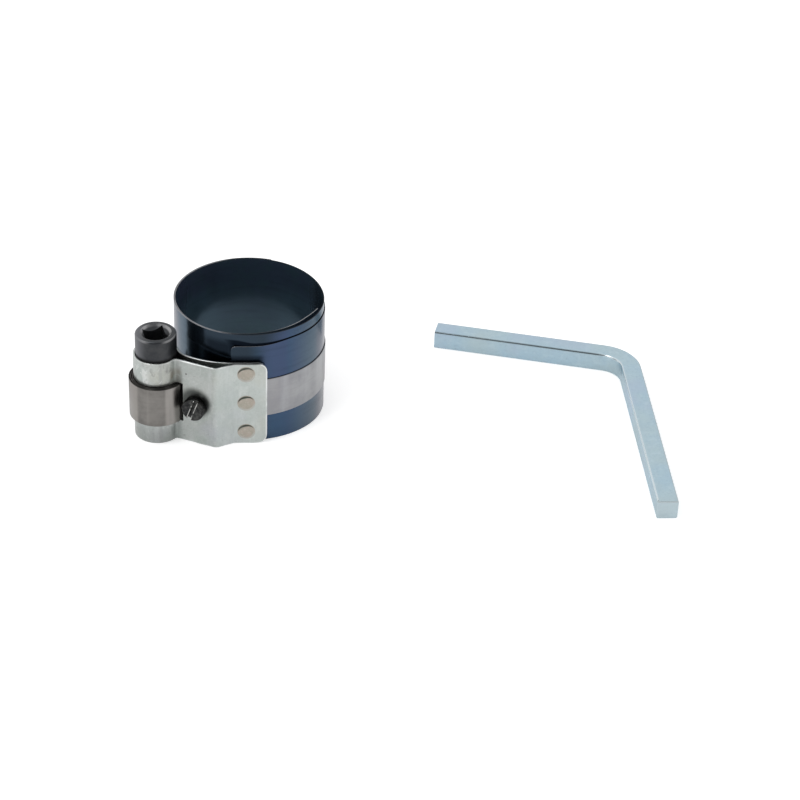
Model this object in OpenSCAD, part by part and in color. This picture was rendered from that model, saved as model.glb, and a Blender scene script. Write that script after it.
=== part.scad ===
// Piston ring compressor with its loose square key, in millimetres.
// The origin is on the ring axis at floor level. +Z runs up the ring axis and -Y faces the viewer.
// A coiled spring band is drawn tight by a strap that winds onto a keyed spindle in a folded housing.

/* [Band] */
// Bore that the coiled band is set to
bore_d = 58; // [56:0.5:60]
// Thickness of the spring steel band
band_t = 0.3; // [0.25:0.01:0.35]
// Space left between two turns of the band
turn_gap = 0.1; // [0.08:0.01:0.14]
// Height of the inner turns
band_h = 49; // [48:0.5:52]
// Height of the outer turn, which is cut lower than the rim
outer_turn_h = 44; // [42:0.5:45]
// Direction in which the free inner end stops
free_end_angle = -19; // [-24:1:-14]
// How far the band springs outward as it passes the free end
end_spring = 3; // [2.6:0.1:3.2]
// Length of the flat tail of the band under the housing
band_tail = 6.8; // [6:0.1:7.2]
// Corner radius of that tail
tail_corner_r = 2; // [1:0.25:3]

/* [Strap] */
// Width of the pulling strap, as a share of the housing height
strap_share = 0.457; // [0.42:0.001:0.465]
// Thickness of the pulling strap
strap_t = 0.3; // [0.25:0.01:0.32]
// Height of the lower strap edge on the ring axis, as a share of the housing height
strap_place = 0.3065; // [0.302:0.0005:0.31]
// Lean of the strap across the ring, in degrees
strap_lean = 1.6; // [1:0.1:1.8]
// Length of the strap end held under the housing
strap_tail = 4.6; // [4:0.1:5]
// Growth of the wound strap's radius with each half turn
coil_step = 0.37; // [0.35:0.01:0.38]
// Full turns of strap on the spindle
coil_turns = 4; // [3:1:4]

/* [Housing] */
// Thickness of the folded housing sheet
sheet_t = 0.9; // [0.7:0.05:1]
// Height of the housing
housing_h = 37.2; // [36.5:0.1:38.5]
// Reach of the welded plate to the right of the ring axis
plate_reach = 7.3; // [6.5:0.1:8.5]
// Corner radius of the welded plate
plate_corner_r = 3.6; // [2:0.1:4]
// Distance of the fold line to the left of the ring axis
fold_x = 12.8; // [12.4:0.1:13.2]
// Slope of the two flats that meet at the fold
fold_angle = 24.4; // [23.8:0.1:25]
// Radius inside the neck between the flat and the barrel
neck_r = 1.6; // [1.4:0.1:2.4]
// Diameter of the spot weld marks
weld_d = 7; // [5.5:0.1:7.2]
// Depth of the dish in a spot weld mark
weld_dish = 0.3; // [0.15:0.05:0.4]

/* [Spindle] */
// Diameter of the spindle
spindle_d = 16.4; // [16.2:0.05:16.8]
// Height of the top of the spindle
spindle_top = 46.5; // [44:0.5:50]
// Radial running clearance of the spindle in its barrel
spindle_clear = 0.08; // [0.05:0.01:0.1]
// Distance from the ring axis to the spindle axis
spindle_reach = 42.9; // [42.7:0.05:43.2]
// Direction of the spindle axis seen from the ring axis
spindle_angle = -147.3; // [-148:0.1:-147]
// Play of the key in the square socket, side to side
key_play = 0.4; // [0.2:0.05:0.6]
// Depth of the square socket
socket_depth = 15; // [10:0.5:17]
// Direction in which the socket stands at rest
socket_turn = 21; // [0:1:45]

/* [Brake screw] */
// Thread diameter of the brake screw
screw_d = 5; // [4:0.5:5]
// Diameter of the cheese head
screw_head_d = 9.4; // [8.5:0.1:9.6]
// Height of the cheese head
screw_head_h = 3.5; // [2.8:0.1:3.6]
// Height of the screw axis, as a share of the housing height
screw_place = 0.467; // [0.42:0.001:0.53]
// Distance of the screw from the fold, along the flat
screw_from_fold = 8.5; // [8.3:0.1:8.9]
// Direction of the slot in the screw head
slot_turn = -20; // [-90:5:90]
// Thickness of the thin square nut
nut_h = 2.5; // [2:0.1:2.6]

/* [Key] */
// Side of the square key
key_a = 8; // [7:0.1:8.2]
// Edge chamfer of the key
key_chamfer = 0.6; // [0.3:0.1:1]
// Length of the arm that lies across the view
key_long_arm = 80.5; // [60:0.5:90]
// Length of the arm that points to the viewer
key_near_arm = 104; // [80:0.5:110]
// Inside radius of the key's bend
key_bend_r = 9; // [6:0.5:12]
// Turn of the key from one arm to the other
key_turn = 74.4; // [70:0.2:90]
// Direction of the arm that lies across the view
key_lay = -14.6; // [-20:0.2:-10]
// Where the two arm centre lines cross, to the right of the ring axis
key_x = 157; // [150:0.5:170]
// Where the two arm centre lines cross, behind the ring axis
key_y = 21.7; // [15:0.1:30]

/* [Hidden] */
$fn = 96;
// Space between pieces that lie on each other, and over-run of the cuts
touch = 0.05;
cut = 1;
// Overlap along a strip and the hair's breadth by which its links are slimmer
lap = 0.1;
lip = 0.01;
// Middle radius of the first turn and the step from turn to turn
turn_r = bore_d / 2 + band_t / 2;
turn_step = band_t + turn_gap;
// The band leaves the circle at lift_a, swings over the free end and is back on a circle at the front
lift_a = 45;
swing_a = 5;
swing_b = -45;
function dir(a) = [cos(a), sin(a)];
// Three tangent arcs carry a turn outward by one step; their radii follow from closing the chain of centres
chain_x = end_spring * cos(lift_a);
chain_y = end_spring * (1 + sin(lift_a)) - turn_step;
chain_det = cos(swing_a) * (1 + sin(swing_b)) - cos(swing_b) * (1 + sin(swing_a));
bulge_in = (chain_x * (1 + sin(swing_b)) - cos(swing_b) * chain_y) / chain_det;
bulge_out = (cos(swing_a) * chain_y - (1 + sin(swing_a)) * chain_x) / chain_det;
front_lift = end_spring - turn_step - bulge_in - bulge_out;
centre_a = -end_spring * dir(lift_a);
centre_c = centre_a + bulge_in * dir(swing_a);
centre_b = [0, front_lift];
// Strap edges and screw axis keep their places on the housing
strap_w = strap_share * housing_h;
strap_z = strap_place * housing_h;
screw_z = screw_place * housing_h;
// Middle line of the strap outside the outer turn
strap_off = band_t / 2 + touch + strap_t / 2;
strap_r = turn_r + turn_step + strap_off;
// Flat faces of the plate stack at the front, as distances from the ring axis
tail_face = turn_r + 2 * turn_step + band_t / 2;
strap_face = tail_face + touch + strap_t;
back_leaf_r = strap_face + touch + sheet_t / 2;
leaf_gap = 0.04;
front_leaf_r = back_leaf_r + sheet_t + leaf_gap;
plate_face = front_leaf_r + sheet_t / 2;
stack_t = plate_face - strap_face;
leaf_setback = 0.4;
// Spindle axis, barrel and wound strap
axis_at = spindle_reach * dir(spindle_angle);
spindle_r = spindle_d / 2;
barrel_r = spindle_r + spindle_clear + sheet_t / 2;
coil_in = spindle_r + touch + strap_t / 2;
coil_mid = coil_in + 2 * coil_turns * coil_step;
coil_r = coil_mid + strap_t / 2;
coil_drop = 2;
coil_z = strap_z - coil_drop;
coil_room = 0.9;
coil_slack = 0.3;
window_r = coil_r + coil_room;
window_low = coil_z - coil_slack;
window_high = coil_z + strap_w + coil_slack;
tongue = 2.4;
tongue_end = spindle_r - tongue;
// The strap crosses to the coil along the inner tangent of ring and coil
run_gap = 0.3;
run_r = coil_r + run_gap + strap_t / 2;
cross_a = acos((strap_r + run_r) / spindle_reach);
leave_a = spindle_angle + 360 - cross_a;
run_len = spindle_reach * sin(cross_a);
// Front leaf: fold, flat towards the barrel and the neck fillet
slope_x = 5.4;
fold_depth = plate_face + (fold_x - slope_x) * tan(fold_angle) - sheet_t / 2 / cos(fold_angle);
fold_at = [-fold_x, -fold_depth];
flat_dir = [-cos(fold_angle), sin(fold_angle)];
flat_out = [-sin(fold_angle), -cos(fold_angle)];
neck_off = fold_at * flat_out + neck_r - axis_at * flat_out;
neck_far = sqrt(pow(barrel_r + neck_r, 2) - pow(neck_off, 2));
neck_at = axis_at + neck_off * flat_out - neck_far * flat_dir;
neck_from = atan2(axis_at[1] - neck_at[1], axis_at[0] - neck_at[0]);
neck_to = atan2(-flat_out[1], -flat_out[0]);
fold_r = 2.4;
flat_len = (neck_at - fold_at) * flat_dir;
fold_back = fold_r * tan(fold_angle);
// Bend at the plate end of the fold
bend_r = 3;
bend_back = bend_r * tan(fold_angle / 2);
bend_x = fold_x - (fold_depth - front_leaf_r) / tan(fold_angle);
// Back leaf: a wide arc, then a tight arc that meets the barrel
wide_r = 34;
wide_x = -6;
wide_at = [wide_x, wide_r - back_leaf_r];
tight_r = 6;
to_axis = axis_at - wide_at;
span = norm(to_axis);
along = (pow(wide_r - tight_r, 2) - pow(barrel_r + tight_r, 2) + span * span) / (2 * span);
across = sqrt(pow(wide_r - tight_r, 2) - along * along);
tight_at = wide_at + along * to_axis / span + across * [-to_axis[1], to_axis[0]] / span;
wide_to = atan2(tight_at[1] - wide_at[1], tight_at[0] - wide_at[0]);
tight_raw = atan2(axis_at[1] - tight_at[1], axis_at[0] - tight_at[0]);
tight_to = tight_raw > 0 ? tight_raw - 360 : tight_raw;
barrel_from = atan2(tight_at[1] - axis_at[1], tight_at[0] - axis_at[0]);
barrel_to = atan2(neck_at[1] - axis_at[1], neck_at[0] - axis_at[0]) + 360;
// Brake screw on the flat, with its outer face as origin
screw_seat = fold_at + flat_out * sheet_t / 2 + flat_dir * screw_from_fold;
weld_x = -0.8;
weld_r = weld_d / 2;
weld_heights = [0.875, 0.515, 0.155] * housing_h;
weld_gap = 0.02;
dish_r = weld_r * 2.2;
// Depth along the screw axis at which it leaves the back leaf
leaf_rel = screw_seat - wide_at;
leaf_b = leaf_rel * flat_out;
leaf_exit = leaf_b - sqrt(leaf_b * leaf_b - leaf_rel * leaf_rel + pow(wide_r - sheet_t / 2, 2));
nut_gap = 0.45;
nut_seat = leaf_exit + nut_gap;
shank_len = nut_seat + nut_h;
nut_a = screw_d * 1.6;
hole_play = 0.08;
thread_play = 0.06;
// Cheese head: gap to the flat, edge chamfer and slot
head_gap = 0.3;
head_chamfer = 0.4;
slot_w = 1.5;
slot_depth = 1.7;
// Spindle ends and the round mouth of its socket
spindle_foot = 0.4;
foot_chamfer = 0.5;
top_chamfer = 0.6;
mouth_depth = 1.3;
mouth_flare = 1.3;
socket_a = key_a + key_play;

// A curved strip: part of an upright ring about a given centre
module strip(at, r, from, to, t, low, high) {
    translate([at[0], at[1], low])
        rotate([0, 0, from])
            rotate_extrude(angle = to - from)
                translate([r - t / 2, 0])
                    square([t, high - low]);
}

// The same strip a hair slimmer, run on into its neighbours at the ends that are marked 1
module link(at, r, from, to, t, low, high, ends = [1, 1]) {
    run_on = lap / r * 180 / PI;
    strip(at, r, from - ends[0] * run_on, to + ends[1] * run_on, t - 2 * lip, low + lip, high - lip);
}

// A flat strip that starts at a point and runs in a direction
module flat_strip(at, way, len, t, low, high) {
    translate([at[0], at[1], low])
        rotate([0, 0, way])
            translate([0, -t / 2, 0])
                cube([len, t, high - low]);
}

// The same flat strip a hair slimmer, run on into its neighbours at the ends that are marked 1
module flat_link(at, way, len, t, low, high, ends = [1, 1]) {
    flat_strip(at - ends[0] * lap * dir(way), way, len + (ends[0] + ends[1]) * lap, t - 2 * lip,
        low + lip, high - lip);
}

// The three arcs that swing a turn over the free end, with slim outer arcs or a slim middle one
module swing(r, t, low, high, slim_middle) {
    if (slim_middle) {
        strip(centre_a, r + end_spring, swing_a, lift_a, t, low, high);
        link(centre_c, r + end_spring - bulge_in, swing_b, swing_a, t, low, high);
        strip(centre_b, r + turn_step + front_lift, -90, swing_b, t, low, high);
    } else {
        link(centre_a, r + end_spring, swing_a, lift_a, t, low, high);
        strip(centre_c, r + end_spring - bulge_in, swing_b, swing_a, t, low, high);
        link(centre_b, r + turn_step + front_lift, -90, swing_b, t, low, high);
    }
}

// Coiled blued band: inner turn, second turn and the lower outer turn with its flat tail
module spring_band() {
    color("midnightblue") {
        strip([0, 0], turn_r, lift_a, 360 + free_end_angle, band_t, 0, band_h);
        swing(turn_r, band_t, 0, band_h, false);
        strip([0, 0], turn_r + turn_step, 180, 270, band_t, 0, band_h);
        link([0, 0], turn_r + turn_step, lift_a, 180, band_t, 0, outer_turn_h);
        swing(turn_r + turn_step, band_t, 0, outer_turn_h, true);
        translate([0, band_t / 2 - lip - turn_r - 2 * turn_step, 0])
            rotate([90, 0, 0])
                linear_extrude(height = band_t - 2 * lip)
                    tail_outline();
    }
}

// Face of the flat tail, with its free upper corner rounded
module tail_outline() {
    top = outer_turn_h - lip;
    translate([-band_tail, lip])
        square([band_tail + lap, top - lip - tail_corner_r]);
    translate([tail_corner_r - band_tail, lip])
        square([band_tail - tail_corner_r + lap, top - lip]);
    translate([tail_corner_r - band_tail, top - tail_corner_r])
        circle(r = tail_corner_r);
}

// Strap on the ring, from its held end round to the crossing
module tension_strap() {
    color("silver")
        intersection() {
            union() {
                flat_strip([-strap_tail, strap_t / 2 - strap_face], 0, strap_tail, strap_t, 0, band_h);
                swing(strap_r, strap_t, 0, band_h, false);
                strip([0, 0], strap_r, lift_a, leave_a, strap_t, 0, band_h);
                flat_link(strap_r * dir(leave_a), leave_a + 90, run_len, strap_t, 0, band_h, [1, 0]);
            }
            translate([0, 0, strap_z])
                rotate([0, -strap_lean, 0])
                    translate([-bore_d, -bore_d, 0])
                        cube([2 * bore_d, 2 * bore_d, strap_w]);
        }
}

// Strap wound on the spindle: half turns about two centres, with a tongue in the spindle slot
module strap_coil() {
    color("gainsboro")
        translate([axis_at[0], axis_at[1], 0])
            rotate([0, 0, leave_a - 180]) {
                for (i = [0 : 2 * coil_turns - 1])
                    strip([(i % 2 == 0 ? 1 : -1) * coil_step / 2, 0], coil_mid - coil_step / 2 - i * coil_step,
                        i % 2 == 0 ? -180 : 0, i % 2 == 0 ? 0 : 180, strap_t, coil_z, coil_z + strap_w);
                translate([tongue_end, -strap_t, coil_z])
                    cube([coil_in + strap_t / 2 - tongue_end, strap_t, strap_w]);
            }
}

// Folded housing sheet: welded plate, fold, barrel and back leaf in one strip
module housing() {
    color("lightgray")
        difference() {
            union() {
                front_leaf();
                back_leaf();
                strip(axis_at, barrel_r, barrel_from, barrel_to, sheet_t, 0, housing_h);
            }
            // Opening for the wound strap
            translate([axis_at[0], axis_at[1], window_low])
                cylinder(r = window_r, h = window_high - window_low);
            // Hole for the brake screw through both leaves
            screw_frame()
                translate([0, 0, -shank_len])
                    cylinder(r = screw_d / 2 + hole_play, h = shank_len + cut);
            // Seats of the spot welds
            for (z = weld_heights)
                translate([weld_x, -plate_face - cut, z])
                    rotate([-90, 0, 0])
                        cylinder(r = weld_r, h = stack_t + cut);
            plate_corner(housing_h, -1);
            plate_corner(0, 1);
        }
}

// Material outside one rounded corner of the welded plate
module plate_corner(at_z, way) {
    translate([plate_reach - plate_corner_r, -plate_face - cut, at_z + way * plate_corner_r])
        difference() {
            translate([0, 0, way > 0 ? -plate_corner_r - cut : 0])
                cube([plate_corner_r + cut, stack_t + 3 * cut, plate_corner_r + cut]);
            translate([0, -cut, 0])
                rotate([-90, 0, 0])
                    cylinder(r = plate_corner_r, h = stack_t + 5 * cut);
        }
}

// Front leaf from the plate over the fold to the neck
module front_leaf() {
    reach_a = asin(plate_reach / (front_leaf_r + front_lift)) - 90;
    bend_at = [bend_back - bend_x, -front_leaf_r - bend_r];
    fold_centre = fold_at + [0, fold_r / cos(fold_angle)];
    slope_len = (fold_x - bend_x) / cos(fold_angle) - bend_back - fold_back;
    link(centre_b, front_leaf_r + front_lift, -90, reach_a, sheet_t, 0, housing_h, [1, 0]);
    flat_strip([bend_at[0], -front_leaf_r], 0, bend_x - bend_back, sheet_t, 0, housing_h);
    link(bend_at, bend_r, 90, 90 + fold_angle, sheet_t, 0, housing_h);
    flat_strip(fold_at + fold_back * dir(fold_angle), fold_angle, slope_len, sheet_t, 0, housing_h);
    link(fold_centre, fold_r, -90 - fold_angle, -90 + fold_angle, sheet_t, 0, housing_h);
    flat_strip(fold_at + fold_back * flat_dir, 180 - fold_angle, flat_len - fold_back, sheet_t, 0, housing_h);
    link(neck_at, neck_r, neck_to, neck_from, sheet_t, 0, housing_h);
}

// Back leaf from the plate along the ring to the barrel
module back_leaf() {
    reach_a = asin((plate_reach - leaf_setback) / (back_leaf_r + front_lift)) - 90;
    strip(centre_b, back_leaf_r + front_lift, -90, reach_a, sheet_t, 0, housing_h);
    flat_link([wide_x, -back_leaf_r], 0, -wide_x, sheet_t, 0, housing_h);
    strip(wide_at, wide_r, wide_to, -90, sheet_t, 0, housing_h);
    link(tight_at, tight_r, tight_to, wide_to, sheet_t, 0, housing_h);
}

// Black spindle with a square socket in its top and a slot for the strap
module spindle() {
    color("dimgray")
        translate([axis_at[0], axis_at[1], 0])
            difference() {
                union() {
                    translate([0, 0, spindle_foot])
                        cylinder(r1 = spindle_r - foot_chamfer, r2 = spindle_r, h = foot_chamfer);
                    translate([0, 0, spindle_foot + foot_chamfer])
                        cylinder(r = spindle_r, h = spindle_top - spindle_foot - foot_chamfer - top_chamfer);
                    translate([0, 0, spindle_top - top_chamfer])
                        cylinder(r1 = spindle_r, r2 = spindle_r - top_chamfer, h = top_chamfer);
                }
                rotate([0, 0, socket_turn])
                    translate([-socket_a / 2, -socket_a / 2, spindle_top - socket_depth])
                        cube([socket_a, socket_a, socket_depth + cut]);
                translate([0, 0, spindle_top - mouth_depth])
                    cylinder(r1 = key_a / 2, r2 = key_a / 2 + 2 * mouth_flare, h = 2 * mouth_depth);
                rotate([0, 0, leave_a - 180])
                    translate([tongue_end - 2 * touch, -strap_t - touch, -cut])
                        cube([2 * tongue, strap_t + 2 * touch, coil_z + strap_w + 2 * touch + cut]);
            }
}

// Frame of the brake screw: origin on the outer face of the flat, +Z outward along the screw
module screw_frame() {
    translate([screw_seat[0], screw_seat[1], screw_z])
        rotate([0, 0, atan2(flat_out[1], flat_out[0])])
            rotate([0, 90, 0])
                children();
}

// Slotted cheese head screw that sets the drag of the barrel on the spindle
module brake_screw() {
    color("dimgray")
        screw_frame()
            difference() {
                union() {
                    translate([0, 0, -shank_len])
                        cylinder(r = screw_d / 2, h = shank_len + screw_head_h / 2);
                    translate([0, 0, head_gap])
                        cylinder(r = screw_head_d / 2, h = screw_head_h - head_gap - head_chamfer);
                    translate([0, 0, screw_head_h - head_chamfer])
                        cylinder(r1 = screw_head_d / 2, r2 = screw_head_d / 2 - head_chamfer, h = head_chamfer);
                }
                rotate([0, 0, slot_turn])
                    translate([-screw_head_d, -slot_w / 2, screw_head_h - slot_depth])
                        cube([2 * screw_head_d, slot_w, slot_depth + cut]);
            }
}

// Thin square nut behind the back leaf
module brake_nut() {
    color("silver")
        screw_frame()
            translate([0, 0, -nut_seat - nut_h])
                difference() {
                    translate([-nut_a / 2, -nut_a / 2, 0])
                        cube([nut_a, nut_a, nut_h]);
                    translate([0, 0, -cut])
                        cylinder(r = screw_d / 2 + thread_play, h = nut_h + 2 * cut);
                }
}

// One spot weld, dished on its outer face, with its root on the layer below
module weld(z, root) {
    color("tan")
        translate([weld_x, -plate_face, z])
            rotate([-90, 0, 0])
                difference() {
                    cylinder(r = weld_r, h = plate_face - root);
                    translate([0, 0, weld_dish - dish_r])
                        sphere(r = dish_r);
                }
}

module weld_upper() {
    weld(weld_heights[0], tail_face + weld_gap);
}

module weld_middle() {
    weld(weld_heights[1], strap_face + weld_gap);
}

module weld_lower() {
    weld(weld_heights[2], tail_face + weld_gap);
}

// Loose square key, lying on the floor beside the ring; both arms start at the ends of its bend
module square_key() {
    bend_mid = key_bend_r + key_a / 2;
    bend_len = bend_mid * tan(key_turn / 2);
    run_on = lap / bend_mid * 180 / PI;
    color("lightsteelblue")
        translate([key_x, key_y, 0])
            rotate([0, 0, key_lay])
                translate([-bend_len, -bend_mid, 0])
                    rotate([0, 0, 90 - key_turn]) {
                        rotate([0, 0, -run_on])
                            rotate_extrude(angle = key_turn + 2 * run_on)
                                translate([bend_mid, 0])
                                    key_section(lip);
                        translate([bend_mid, 0, 0])
                            rotate([90, 0, 0])
                                linear_extrude(height = key_near_arm - bend_len)
                                    key_section(0);
                        rotate([0, 0, key_turn])
                            translate([bend_mid, 0, 0])
                                mirror([0, 1, 0])
                                    rotate([90, 0, 0])
                                        linear_extrude(height = key_long_arm - bend_len)
                                            key_section(0);
                    }
}

// Square section of the key with chamfered edges, drawn in by a hair where asked
module key_section(inset) {
    h = key_a / 2 - inset;
    c = key_chamfer;
    low = inset;
    high = key_a - inset;
    polygon([[c - h, low], [h - c, low], [h, low + c], [h, high - c], [h - c, high], [c - h, high],
        [-h, high - c], [-h, low + c]]);
}

spring_band();
tension_strap();
strap_coil();
housing();
spindle();
brake_screw();
brake_nut();
weld_upper();
weld_middle();
weld_lower();
square_key();
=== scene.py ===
import math

import bmesh
import bpy
from mathutils import Matrix, Vector


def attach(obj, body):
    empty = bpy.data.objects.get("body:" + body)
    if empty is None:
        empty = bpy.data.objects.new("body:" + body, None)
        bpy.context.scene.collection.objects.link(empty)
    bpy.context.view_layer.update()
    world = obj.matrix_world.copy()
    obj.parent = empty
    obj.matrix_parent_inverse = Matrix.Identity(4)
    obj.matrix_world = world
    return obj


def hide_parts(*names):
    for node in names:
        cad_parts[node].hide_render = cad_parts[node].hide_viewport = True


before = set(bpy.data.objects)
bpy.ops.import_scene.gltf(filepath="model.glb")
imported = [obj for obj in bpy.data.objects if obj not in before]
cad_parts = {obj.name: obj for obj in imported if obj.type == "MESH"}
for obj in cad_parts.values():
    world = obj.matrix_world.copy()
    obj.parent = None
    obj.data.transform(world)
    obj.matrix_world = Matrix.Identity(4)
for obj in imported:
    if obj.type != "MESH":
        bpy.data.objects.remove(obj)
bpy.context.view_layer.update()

# Spring band: one long strip of blued spring steel, rolled up to a little over two turns.
# Its inner end is free at the right front; the outer turn is cut 5 mm lower and ends in a flat
# tail that is spot welded under the housing. Sizes here and below are in millimetres.
MM = 0.001
BORE_R = 29.0
BAND_T = 0.3
BAND_EDGE = 0.07
BAND_STATION = 0.5
TURN_STEP = 0.4
BAND_H = 49.0
OUTER_TURN_H = 44.0
OUTER_LEAN = 1.1
LEAN_FROM, LEAN_TO = 4.0, 18.0
STEP_A = 70.0
STEP_RUN = 5.0
FREE_END = 341.0
END_CORNER = 0.6
END_OFF, END_TIP = 1.25, 0.25
END_RUN, END_FADE = 13.0, 42.0
TAIL_LEN = 6.8
TAIL_CORNER = 2.0
HOUSING_H = 37.2
CHORD = 0.12
SAME_PLACE = 0.01
ORIGIN = Vector((0.0, 0.0))


def toward(angle):
    return Vector((math.cos(math.radians(angle)), math.sin(math.radians(angle))))


def heading(vector):
    return math.degrees(math.atan2(vector[1], vector[0]))


def arc(centre, radius, start, stop):
    count = max(2, math.ceil(abs(math.radians(stop - start)) * radius / CHORD))
    return [centre + radius * toward(start + (stop - start) * i / count) for i in range(count + 1)]


def chain(*runs):
    """One path from runs of points that follow each other, without the doubled joints"""
    path = []
    for run in runs:
        for point in run:
            if not path or (point - path[-1]).length > SAME_PLACE:
                path.append(point)
    return path


def length_of(path):
    return sum((b - a).length for a, b in zip(path, path[1:]))


def stations(path, gap, fine_end=3.0, fine_gap=0.15):
    """Distances along a path, closer together near both ends"""
    whole = length_of(path)
    marks = [i * fine_gap for i in range(int(fine_end / fine_gap))]
    middle = whole - 2 * fine_end
    count = math.ceil(middle / gap)
    marks_in = [fine_end + middle * i / count for i in range(count + 1)]
    return marks + marks_in + [whole - m for m in reversed(marks)]


def places(path, distances):
    """Points at given distances along a path"""
    found, travelled, i = [], 0.0, 0
    for distance in distances:
        while i < len(path) - 2 and travelled + (path[i + 1] - path[i]).length < distance:
            travelled += (path[i + 1] - path[i]).length
            i += 1
        step = (path[i + 1] - path[i]).length
        found.append(path[i].lerp(path[i + 1], min(1.0, (distance - travelled) / step)))
    return found


def smooth(x):
    x = max(0.0, min(1.0, x))
    return x * x * (3 - 2 * x)


def corner_drop(distance, radius):
    """How far a rounded corner lies below the full edge, at a distance from the strip's end"""
    inside = max(0.0, radius - distance)
    return radius - math.sqrt(max(0.0, radius * radius - inside * inside))


# The band leaves its circle at 45 degrees, swings over the free end on three tangent arcs and is
# back on a circle one step further out at the front.
SWING_OFF = 3.0
LIFT_A, SWING_A, SWING_B = 45.0, 5.0, -45.0
chain_x = SWING_OFF * math.cos(math.radians(LIFT_A))
chain_y = SWING_OFF * (1 + math.sin(math.radians(LIFT_A))) - TURN_STEP
cos_a, sin_a = toward(SWING_A)
cos_b, sin_b = toward(SWING_B)
chain_det = cos_a * (1 + sin_b) - cos_b * (1 + sin_a)
BULGE_IN = (chain_x * (1 + sin_b) - cos_b * chain_y) / chain_det
BULGE_OUT = (cos_a * chain_y - (1 + sin_a) * chain_x) / chain_det
FRONT_LIFT = SWING_OFF - TURN_STEP - BULGE_IN - BULGE_OUT
CENTRE_A = -SWING_OFF * toward(LIFT_A)
CENTRE_C = CENTRE_A + BULGE_IN * toward(SWING_A)
CENTRE_B = Vector((0.0, FRONT_LIFT))


def swing(radius):
    return chain(
        arc(CENTRE_A, radius + SWING_OFF, LIFT_A, SWING_A),
        arc(CENTRE_C, radius + SWING_OFF - BULGE_IN, SWING_A, SWING_B),
        arc(CENTRE_B, radius + TURN_STEP + FRONT_LIFT, SWING_B, -90.0))


def sprung(path):
    """The free end springs off the next turn, most a little way behind its tip"""
    gone, moved = 0.0, []
    for before, here in zip([path[0]] + path, path):
        gone += (here - before).length
        off = END_OFF * smooth(END_TIP + gone / END_RUN) * (1 - smooth((gone - END_RUN) / END_FADE))
        moved.append(here - off * here.normalized())
    return moved


turn_r = BORE_R + BAND_T / 2
second_r = turn_r + TURN_STEP
tail_y = -second_r - TURN_STEP
first_turn = chain(arc(ORIGIN, turn_r, FREE_END, LIFT_A), swing(turn_r))
inner_part = chain(first_turn, arc(ORIGIN, second_r, 270.0, STEP_A))
band_path = sprung(chain(inner_part, arc(ORIGIN, second_r, STEP_A, LIFT_A), swing(second_r),
                         [Vector((0.0, tail_y)), Vector((-TAIL_LEN, tail_y))]))
front_at = length_of(first_turn)
step_at = length_of(inner_part)
band_len = length_of(band_path)


def add_node(tree, kind, sockets, **settings):
    """Adds a node with its settings; each socket gets a value, or a link from a socket or a Wire"""
    node = tree.nodes.new(kind)
    for name, value in settings.items():
        setattr(node, name, value)
    for name, value in sockets.items():
        value = getattr(value, "socket", value)
        if isinstance(value, bpy.types.NodeSocket):
            tree.links.new(value, node.inputs[name])
        else:
            node.inputs[name].default_value = value
    return node


def new_tree(name, **inputs):
    """A geometry node tree with the named inputs, and the sockets that give their values"""
    tree = bpy.data.node_groups.new(name, "GeometryNodeTree")
    for label, kind in inputs.items():
        tree.interface.new_socket(label, in_out="INPUT", socket_type="NodeSocket" + kind)
    tree.interface.new_socket("Result", in_out="OUTPUT", socket_type="NodeSocketGeometry")
    return tree, tree.nodes.new("NodeGroupInput").outputs


def end_tree(tree, geometry, finish):
    """Ends a node tree: makes instances real, sets the material and gives the result out"""
    real = add_node(tree, "GeometryNodeRealizeInstances", {"Geometry": geometry}).outputs[0]
    dressed = add_node(tree, "GeometryNodeSetMaterial", {"Geometry": real, "Material": finish}).outputs[0]
    add_node(tree, "NodeGroupOutput", {"Result": dressed})
    return tree


def strip_tree():
    """Node tree that turns a flat path into an upright strip, from its low to its high attribute"""
    tree, given = new_tree("strip_along_path", Path="Geometry", Thickness="Float", Edge="Float",
                           Finish="Material")

    def add(kind, sockets, **settings):
        return add_node(tree, kind, sockets, **settings).outputs[0]

    def sum_of(operation, first, second):
        return add("ShaderNodeMath", {0: first, 1: second}, operation=operation)

    curve = add("GeometryNodeMeshToCurve", {"Mesh": given["Path"]})
    upright = add("GeometryNodeSetCurveNormal", {"Curve": curve}, mode="Z_UP")
    section = add("GeometryNodeCurvePrimitiveQuadrilateral", {
        "Width": given["Thickness"], "Height": given["Thickness"]})
    rounded = add("GeometryNodeFilletCurve", {"Curve": section, "Count": 3, "Radius": given["Edge"]},
                  mode="POLY")
    solid = add("GeometryNodeCurveToMesh", {0: upright, 1: rounded, "Fill Caps": True})
    place = add("GeometryNodeInputPosition", {})
    height = add_node(tree, "ShaderNodeSeparateXYZ", {"Vector": place}).outputs["Z"]
    upper = sum_of("GREATER_THAN", height, 0.0)
    half = sum_of("MULTIPLY", given["Thickness"], 0.5)
    low = add("GeometryNodeInputNamedAttribute", {"Name": "low"}, data_type="FLOAT")
    high = add("GeometryNodeInputNamedAttribute", {"Name": "high"}, data_type="FLOAT")
    reach = add("ShaderNodeMix", {0: upper, 2: sum_of("ADD", low, half), 3: sum_of("SUBTRACT", high, half)},
                data_type="FLOAT")
    lift = add("ShaderNodeCombineXYZ", {"Z": reach})
    raised = add("GeometryNodeSetPosition", {"Geometry": solid, "Offset": lift})
    return end_tree(tree, raised, given["Finish"])


STRIP_TREE = strip_tree()
SMOOTH_ANGLE = math.radians(38)
WELD_DISTANCE = 1e-7


def new_piece(name, mesh):
    piece = bpy.data.objects.new(name, mesh)
    bpy.context.scene.collection.objects.link(piece)
    return piece


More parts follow.
